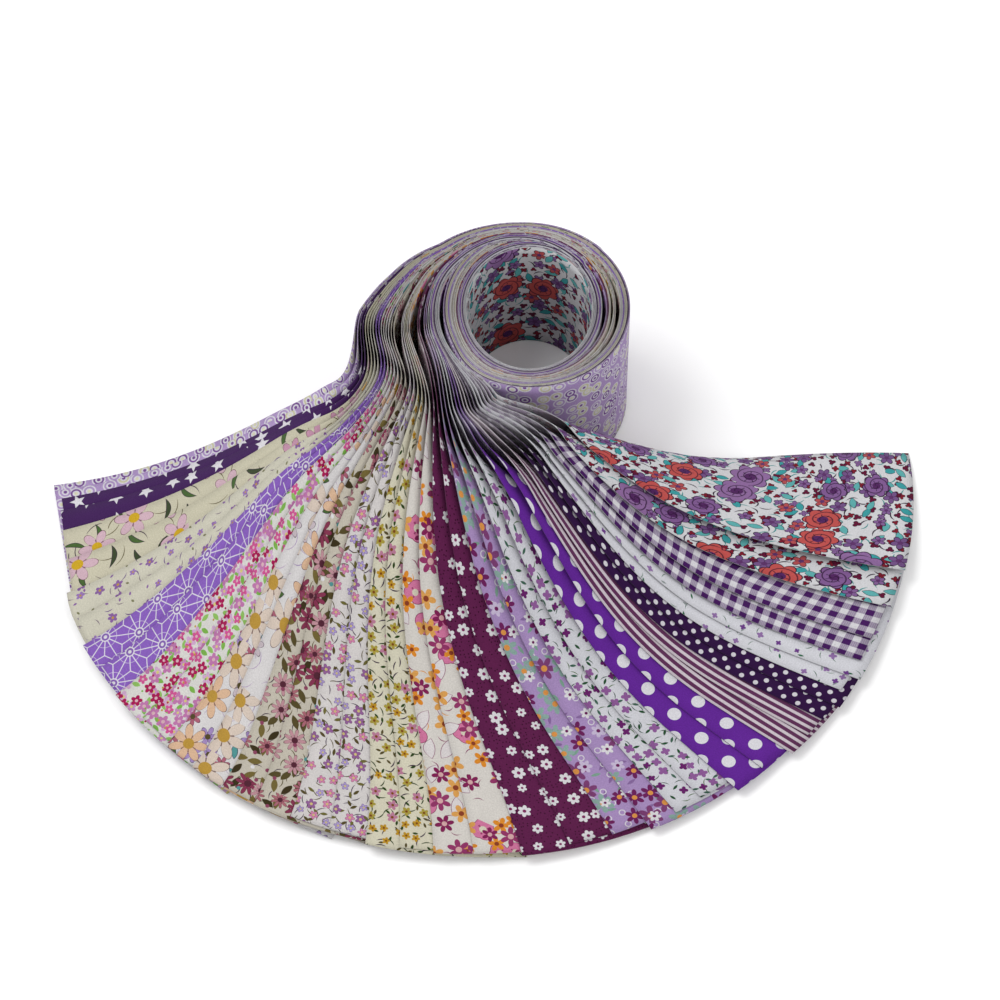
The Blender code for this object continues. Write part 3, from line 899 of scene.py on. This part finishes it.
def cloth(name, points, mats, start):
    """A strip as a thin sheet with its print above, its back below and its cut edge between."""
    rows, columns = points.shape[:2]
    vertices = points.reshape(-1, 3) + np.array([SHIFT_X, SHIFT_Y, 0.0])
    faces = []
    for i in range(rows - 1):
        for j in range(columns - 1):
            a = i * columns + j
            faces.append((a, a + 1, a + columns + 1, a + columns))
    mesh = bpy.data.meshes.new(name)
    mesh.from_pydata([tuple(v) for v in vertices], [], faces)
    for mat in mats:
        mesh.materials.append(mat)
    middle = points[:, columns // 2]
    run = np.concatenate([[0], np.cumsum(np.linalg.norm(np.diff(middle, axis=0), axis=1))])
    layer = mesh.uv_layers.new(name="cloth")
    for loop in mesh.loops:
        row, column = divmod(loop.vertex_index, columns)
        layer.data[loop.index].uv = (column / (columns - 1) * WIDTH, start + run[row])
    mesh.polygons.foreach_set("use_smooth", [True] * len(mesh.polygons))
    piece = bpy.data.objects.new(name, mesh)
    bpy.context.scene.collection.objects.link(piece)
    shell = piece.modifiers.new("thickness", "SOLIDIFY")
    shell.thickness = CLOTH
    shell.offset = 0
    shell.material_offset = 1
    shell.material_offset_rim = 2
    return piece


def strips():
    share = np.linspace(0, 1, ROWS_FAN)
    data = fan(share)
    across = np.linspace(0, 1, COLUMNS)
    random = np.random.default_rng(11)
    mats = {}
    for number in range(1, COUNT + 1):
        fabric = FABRICS[(number - 1) // 2][0]
        node = fabric + ("_a" if number % 2 else "_b")
        if fabric not in mats:
            mats[fabric] = cloth_materials(fabric, (number - 1) // 2)
        points = strip_points(data, number, across, random)
        piece = cloth(node + "_cloth", points, mats[fabric], random.uniform(0, 0.4))
        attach(piece, "root")
        nodes = [node, "roll"] if number == COUNT else [node]
        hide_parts(*nodes)


def table_and_light():
    bpy.ops.mesh.primitive_plane_add(size=6.0, location=(0, 0, -0.0001))
    floor = bpy.context.object
    floor.name = "table"
    white = bpy.data.materials.new("table_white")
    white.use_nodes = True
    shader = white.node_tree.nodes["Principled BSDF"]
    shader.inputs["Base Color"].default_value = (0.90, 0.90, 0.90, 1)
    shader.inputs["Roughness"].default_value = 0.9
    floor.data.materials.append(white)
    world = bpy.data.worlds.new("studio")
    world.use_nodes = True
    world.node_tree.nodes["Background"].inputs["Color"].default_value = (1, 1, 1, 1)
    world.node_tree.nodes["Background"].inputs["Strength"].default_value = 0.85
    bpy.context.scene.world = world
    for name, place, size, power in (("key", (-0.9, 0.3, 1.5), 1.0, 16),
                                     ("fill", (1.0, -1.0, 1.4), 1.2, 7)):
        lamp = bpy.data.lights.new(name, "AREA")
        lamp.size = size
        lamp.energy = power
        light = bpy.data.objects.new(name, lamp)
        light.location = place
        light.rotation_euler = (-Vector(place)).to_track_quat("-Z", "Y").to_euler()
        bpy.context.scene.collection.objects.link(light)


def camera():
    """The photo's view of the fan."""
    lens = bpy.data.cameras.new("camera")
    lens.sensor_width = 36.0
    lens.lens = LENS
    eye = bpy.data.objects.new("camera", lens)
    up = math.radians(EYE_UP)
    target = Vector((SHIFT_X, SHIFT_Y, 0))
    eye.location = target + Vector((0, -EYE_AWAY * math.cos(up), EYE_AWAY * math.sin(up)))
    eye.rotation_euler = (target - eye.location).to_track_quat("-Z", "Y").to_euler()
    bpy.context.scene.collection.objects.link(eye)
    bpy.context.scene.camera = eye


strips()
table_and_light()
camera()
bpy.context.scene.view_settings.view_transform = "Standard"
